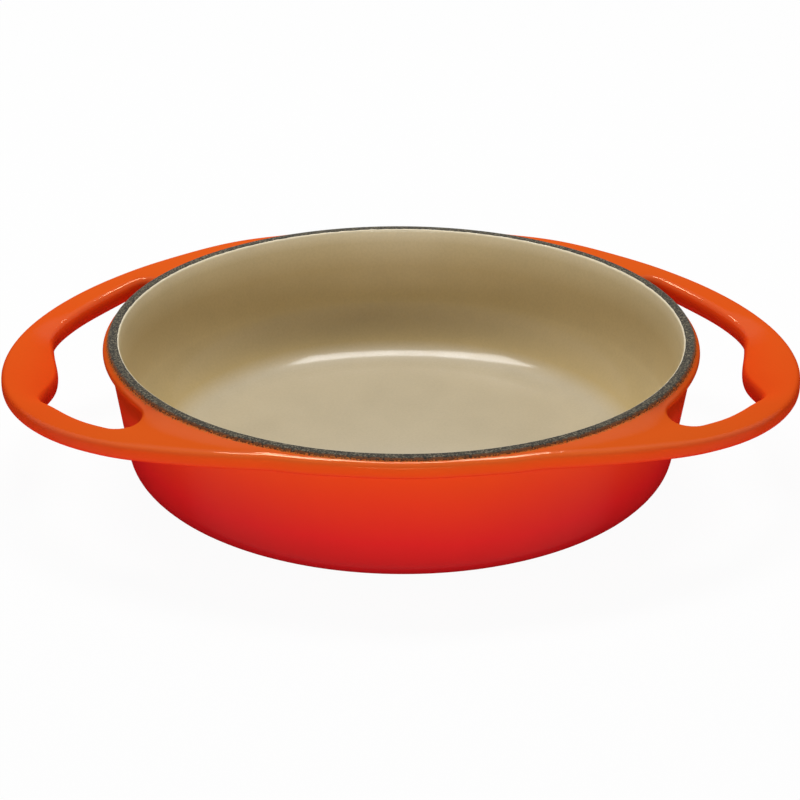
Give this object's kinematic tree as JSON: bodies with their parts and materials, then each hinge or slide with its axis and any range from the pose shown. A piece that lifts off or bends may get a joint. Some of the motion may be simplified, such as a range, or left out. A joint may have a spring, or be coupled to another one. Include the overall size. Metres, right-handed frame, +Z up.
{
  "type": "tarte tatin dish",
  "caption": "Shallow round enamelled cast-iron baking dish with a leaning wall, a flat bare rim and a sloping flange that runs into loop handles with finger holes.",
  "frame": {"origin": "under the middle of the base, on the plane the foot ring stands on", "axes": "+X along the handles, +Z up out of the bowl, +Y across the handles"},
  "size_m": [0.349, 0.262, 0.0635],
  "materials": {
    "cast_iron": "as-cast grey iron, hidden under the coats",
    "flame_enamel": "glossy vitreous enamel, orange shading to deep red",
    "sand_enamel": "satin vitreous enamel",
    "ground_coat": "matte speckled ground enamel",
    "base_coat": "satin vitreous enamel"
  },
  "bodies": {
    "root": {"iron_casting": "cast_iron", "exterior_enamel": "flame_enamel", "interior_enamel": "sand_enamel", "rim_ground_coat": "ground_coat", "base_enamel": "base_coat"}
  },
  "joints": []
}
